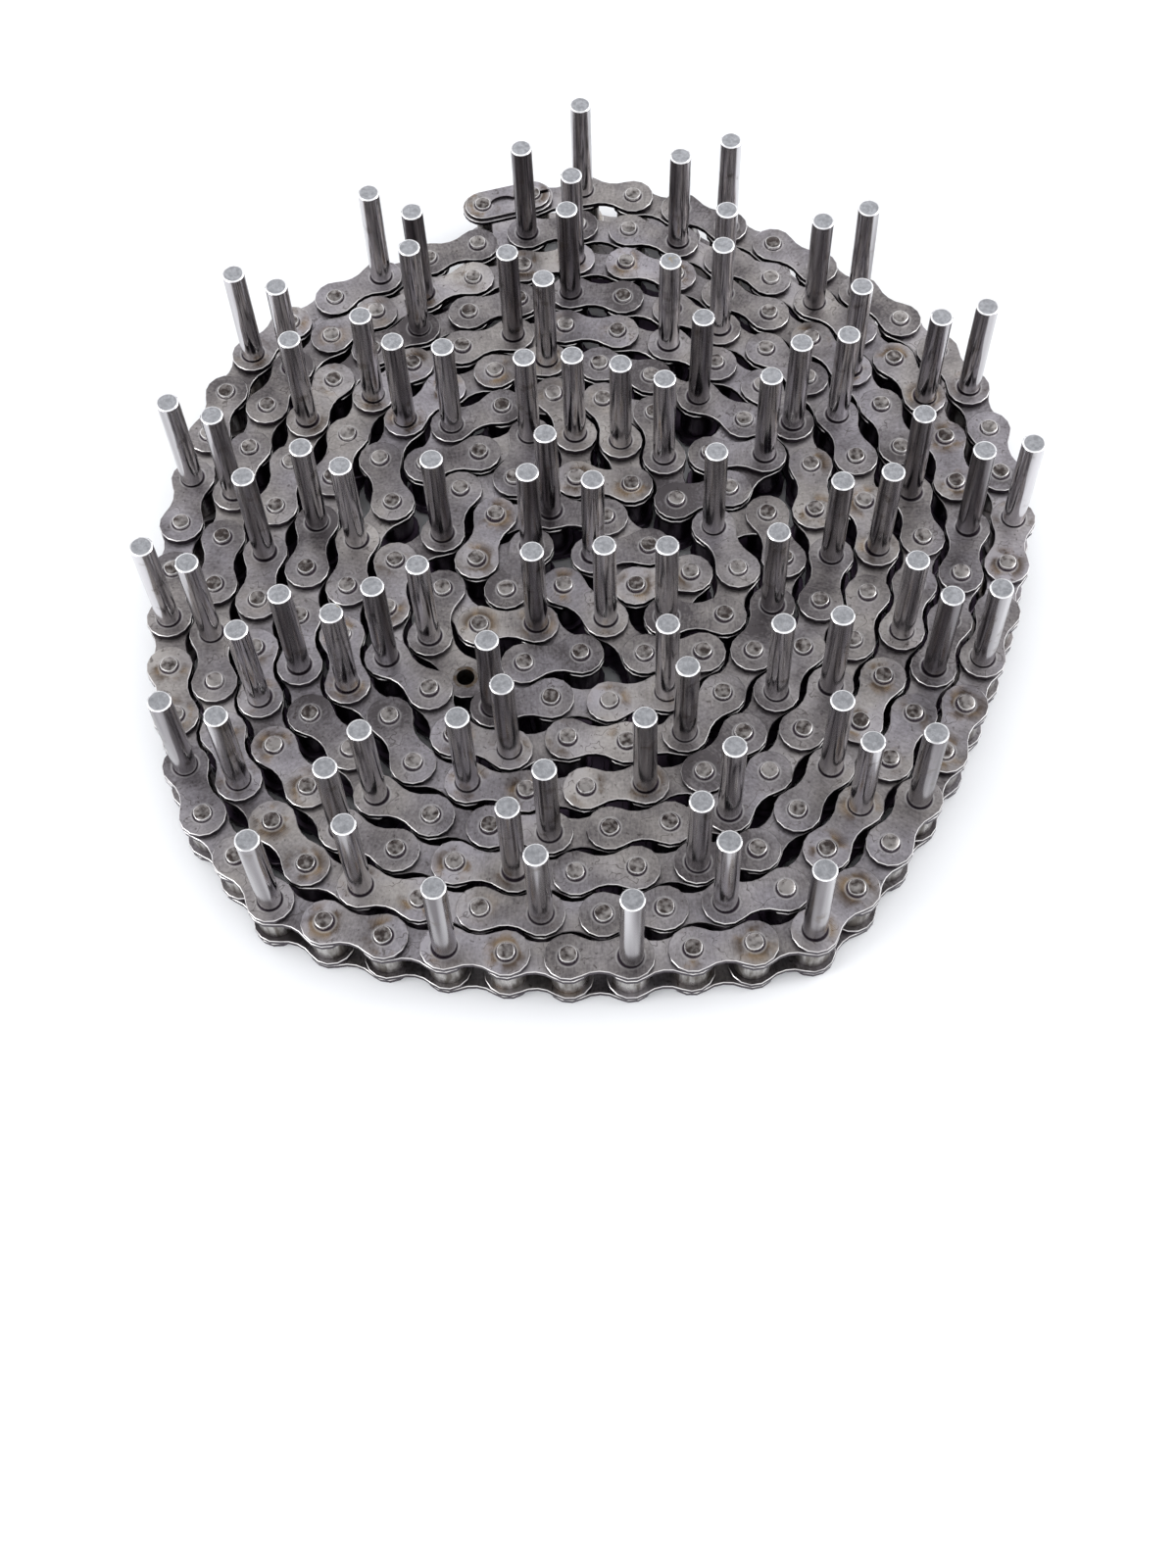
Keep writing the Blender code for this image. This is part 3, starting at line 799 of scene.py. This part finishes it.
def long_finish():
    """Drawn bar with lengthwise bands, a dull pitted end and a chamfer worn bright in places."""
    material, nodes, link, shader = bare_steel("long_pin_steel", SHAFT_PALE, roughness=0.3)
    tone = kept(nodes, "tone", "Fac")
    place = nodes.new("ShaderNodeTexCoord").outputs["Object"]
    bands = noise(nodes, link, stretched(nodes, link, place, BAND_STRETCH), BAND_GRAIN)
    level = figure(nodes, link, "ADD", bands, figure(nodes, link, "MULTIPLY", tone, BAND_TONE))
    colour = blend(nodes, link, ramp(nodes, link, level, BAND_MARKS), SHAFT_DARK, SHAFT_PALE)
    blots = ramp(nodes, link, noise(nodes, link, place, BLOT_GRAIN), BLOT_MARKS)
    stain = figure(nodes, link, "MULTIPLY", blots, BLOT_SHARE)
    colour = blend(nodes, link, stain, colour, SHAFT_STAIN)
    parts = split(nodes, link, kept(nodes, "own", "Vector"))
    start = LONG_TOP - LONG_CHAMFER
    above = ramp(nodes, link, parts["Z"], (start, start + LONG_CHAMFER * 0.2))
    worn = ramp(nodes, link, noise(nodes, link, place, RIM_GRAIN), RIM_MARKS, RIM_WEAR)
    bright = figure(nodes, link, "MULTIPLY", above, worn)
    colour = blend(nodes, link, bright, colour, CHAMFER_COLOUR)
    wide = nodes.new("ShaderNodeVectorMath")
    wide.operation = "LENGTH"
    link(flattened(nodes, link, parts), wide.inputs[0])
    rim = LONG_RADIUS - LONG_CHAMFER - END_RIM
    inside = ramp(nodes, link, wide.outputs["Value"], (rim, rim - END_RIM))
    top = figure(nodes, link, "MULTIPLY", inside, above)
    pitted = noise(nodes, link, place, PIT_GRAIN)
    cap = blend(nodes, link, ramp(nodes, link, pitted, PIT_MARKS), CAP_DARK, CAP_PALE)
    yellow = figure(nodes, link, "MULTIPLY", ramp(nodes, link, tone, YELLOW_TONES), blots)
    cap = blend(nodes, link, yellow, cap, CAP_STAIN)
    link(blend(nodes, link, top, colour, cap), shader.inputs["Base Color"])
    link(ramp(nodes, link, bands, NOISE_SPAN, LONG_ROUGHNESS), shader.inputs["Roughness"])
    pits = figure(nodes, link, "MULTIPLY", pitted, top)
    relief(nodes, link, shader, figure(nodes, link, "ADD", bands, pits), LONG_RELIEF)
    return material


long_steel = long_finish()
shoulder = UPPER_OUTER[1] + SHOULDER_GAP
long_profile = (
    (PIN_RADIUS - HEAD_EDGE, 0.0),
    (PIN_RADIUS, HEAD_EDGE),
    (PIN_RADIUS, shoulder),
    (LONG_RADIUS - LONG_SHOULDER, shoulder),
    (LONG_RADIUS, shoulder + LONG_SHOULDER),
    (LONG_RADIUS, LONG_TOP - LONG_CHAMFER),
    (LONG_RADIUS - LONG_CHAMFER, LONG_TOP),
)
long_shape = turned("long_pin", long_profile, LONG_SIDES)
long_pins = [k for k in range(4, LAST_PIN) if is_long(k)]
long_places = pins_at(long_pins)
lay("long_pins", long_shape, long_places, long_steel, "coil", lean=LONG_LEAN, seed=4)
lay("end_long_pin", long_shape, pins_at([2]), long_steel, "outer_link")
bpy.data.objects.remove(long_shape)

# Outer plates, two for each outer link. They are punched as the inner plates are and pressed on the
# pins outside them. They are what shows most from above, so they carry most of the oil stains.
LOWER_OUTER = (0.0016, 0.00345)
outer_thickness = UPPER_OUTER[1] - UPPER_OUTER[0]
outer_steel = plate_finish("outer_plate_steel", outer_thickness, stained=0.42)
outer_shape = stamped("outer_plate", plate_outline(PLATE_RADIUS), outer_thickness)
outer_pair = (0.0, UPPER_OUTER[0] - LOWER_OUTER[0])
outer_links = links_at(range(4, LAST_PIN, 2), outer_pair)
outer_plates = lay(
    "outer_plates", outer_shape, outer_links, outer_steel, "coil", LOWER_OUTER[0],
    lean=PLATE_LEAN,
)
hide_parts(*RUNS)
end_places = links_at([2], outer_pair)
end_outer = lay(
    "end_outer_plates", outer_shape, end_places, outer_steel, "outer_link", LOWER_OUTER[0]
)
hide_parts("end_outer_link")
bpy.data.objects.remove(outer_shape)

# Connecting link at the free end: a straight-sided plate with two grooved pins pressed in it, and
# a loose plate of the same outline that slips over them from above.
GROOVE_RADIUS = 0.0023
GROOVE = (0.02115, 0.0222)
GROOVED_TOP = 0.0232
STRAIGHT_STEPS = 10


def straight_outline(half):
    """Straight sides and round ends, from pin to pin along X."""
    points = []
    for centre, facing in ((PITCH, 0.0), (0.0, math.pi)):
        for k in range(STRAIGHT_STEPS + 1):
            angle = facing + math.pi * (k / STRAIGHT_STEPS - 0.5)
            points.append((centre + half * math.cos(angle), half * math.sin(angle)))
    return points


base_shape = stamped("end_plate", straight_outline(PLATE_RADIUS), outer_thickness)
first_link = links_at([0])
end_base = lay(
    "end_link_plate", base_shape, first_link, outer_steel, "connector", LOWER_OUTER[0]
)
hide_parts("connecting_link")
bpy.data.objects.remove(base_shape)
loose_thickness = LOOSE_PLATE[1] - LOOSE_PLATE[0]
loose_steel = plate_finish("loose_plate_steel", loose_thickness, stained=0.42)
loose_shape = stamped("loose_plate", straight_outline(PLATE_RADIUS), loose_thickness)
end_loose = lay(
    "end_loose_plate", loose_shape, first_link, loose_steel, "connector", LOOSE_PLATE[0]
)
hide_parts("connecting_plate")
bpy.data.objects.remove(loose_shape)

grooved_profile = (
    (PIN_RADIUS - HEAD_EDGE, 0.0),
    (PIN_RADIUS, HEAD_EDGE),
    (PIN_RADIUS, GROOVE[0]),
    (GROOVE_RADIUS, GROOVE[0]),
    (GROOVE_RADIUS, GROOVE[1]),
    (PIN_RADIUS, GROOVE[1]),
    (PIN_RADIUS, GROOVED_TOP - HEAD_EDGE),
    (PIN_RADIUS - TOP_EDGE, GROOVED_TOP),
)
grooved_shape = turned("grooved_pin", grooved_profile, LONG_SIDES)
lay("end_link_pins", grooved_shape, pins_at((0, 1)), rivet_steel, "connector")
bpy.data.objects.remove(grooved_shape)

# Spring clip of thin spring steel that snaps into both grooves and holds the loose plate. It is
# punched from strip with an eye-shaped opening between the pins and a slot out through one end.
CLIP = (0.0212, 0.0221)
CLIP_HALF = 0.0066
CLIP_HOLE = 0.00275
CLIP_SLOT = 0.0016
EYE_PLACE = 0.395
EYE_HALF = 0.0023
EYE_STRETCH = 1.95
SLOT_PLACE = 1.1


def slot_punch():
    """A flat bar that cuts the slot from the middle out through the open end."""
    shape = bmesh.new()
    bmesh.ops.create_cube(shape, size=PITCH)
    bmesh.ops.scale(shape, verts=shape.verts, vec=(1.0, CLIP_SLOT / PITCH, 1.0))
    bmesh.ops.translate(shape, verts=shape.verts, vec=(PITCH * SLOT_PLACE, 0.0, 0.0))
    return pattern("slot_punch", shape)


clip_thickness = CLIP[1] - CLIP[0]
clip_steel = plate_finish("clip_steel", clip_thickness, stained=0.42)
clip_blank = stamped("clip", straight_outline(CLIP_HALF), clip_thickness)
punches = [hole_punch(0.0, CLIP_HOLE), hole_punch(PITCH, CLIP_HOLE)]
punches += [hole_punch(PITCH * EYE_PLACE, EYE_HALF, EYE_STRETCH), slot_punch()]
clip_shape = punched(clip_blank, punches)
spring = lay(
    "end_clip", clip_shape, first_link, clip_steel, "connector", CLIP[0]
)
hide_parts("spring_clip")
bpy.data.objects.remove(clip_shape)

# A pale floor that runs out of sight. The room is bright low down and dimmer overhead, so flat
# steel looks dark and its edges bright, and two wide soft lights shape the long pins.
FLOOR_SIZE = 6.0
FLOOR_COLOUR = (0.91, 0.918, 0.932, 1.0)
FLOOR_ROUGHNESS = 0.85
ROOM_COLOUR = (0.97, 0.98, 1.0, 1.0)
HORIZON_LIGHT = 2.1
OVERHEAD_LIGHT = 0.85
floor_shape = bmesh.new()
bmesh.ops.create_grid(floor_shape, x_segments=1, y_segments=1, size=FLOOR_SIZE / 2.0)
floor = pattern("floor", floor_shape)
floor_paint = bpy.data.materials.new("floor_paint")
floor_paint.use_nodes = True
paint = floor_paint.node_tree.nodes["Principled BSDF"].inputs
paint["Base Color"].default_value = FLOOR_COLOUR
paint["Roughness"].default_value = FLOOR_ROUGHNESS
floor.data.materials.append(floor_paint)

room = bpy.data.worlds.new("room")
room.use_nodes = True
sky = room.node_tree.nodes
sky_link = room.node_tree.links.new
height = split(sky, sky_link, sky.new("ShaderNodeTexCoord").outputs["Generated"])["Z"]
strength = ramp(sky, sky_link, height, (0.0, 1.0), (HORIZON_LIGHT, OVERHEAD_LIGHT))
sky_link(strength, sky["Background"].inputs["Strength"])
sky["Background"].inputs["Color"].default_value = ROOM_COLOUR
bpy.context.scene.world = room
bpy.context.scene.view_settings.view_transform = "Standard"


def soft_light(name, place, size, power):
    """A square light that faces the middle of the coil."""
    lamp = bpy.data.lights.new(name, "AREA")
    lamp.size = size
    lamp.energy = power
    item = bpy.data.objects.new(name, lamp)
    item.location = place
    item.rotation_euler = (-Vector(place)).to_track_quat("-Z", "Y").to_euler()
    bpy.context.scene.collection.objects.link(item)


soft_light("left_light", place=(-1.0, -0.6, 0.5), size=0.6, power=6.0)
soft_light("right_light", place=(1.0, 0.1, 0.6), size=0.6, power=4.0)

# The camera, at the height, distance and turn worked out from the photo by matching the tops and
# feet of the long pins. Its lens is a focal length in pixels of the photo's 1600-pixel height.
FRAME_HEIGHT = 1600.0
FOCAL_PIXELS = 2068.0
SENSOR_HEIGHT = 36.0
NEAREST = 0.01
CAMERA_PLACE = (0.019, -0.394, 0.592)
CAMERA_DOWN = math.radians(62.4)
CAMERA_YAW = math.radians(-3.6)
CAMERA_ROLL = math.radians(-2.5)
lens = bpy.data.cameras.new("camera")
lens.sensor_fit = "VERTICAL"
lens.sensor_height = SENSOR_HEIGHT
lens.lens = SENSOR_HEIGHT * FOCAL_PIXELS / FRAME_HEIGHT
lens.clip_start = NEAREST
camera = bpy.data.objects.new("camera", lens)
camera.location = CAMERA_PLACE
ahead = Vector(
    (
        math.sin(CAMERA_YAW) * math.cos(CAMERA_DOWN),
        math.cos(CAMERA_YAW) * math.cos(CAMERA_DOWN),
        -math.sin(CAMERA_DOWN),
    )
)
facing = ahead.to_track_quat("-Z", "Y").to_matrix().to_4x4()
camera.rotation_euler = (facing @ Matrix.Rotation(CAMERA_ROLL, 4, "Z")).to_euler()
bpy.context.scene.collection.objects.link(camera)
bpy.context.scene.camera = camera
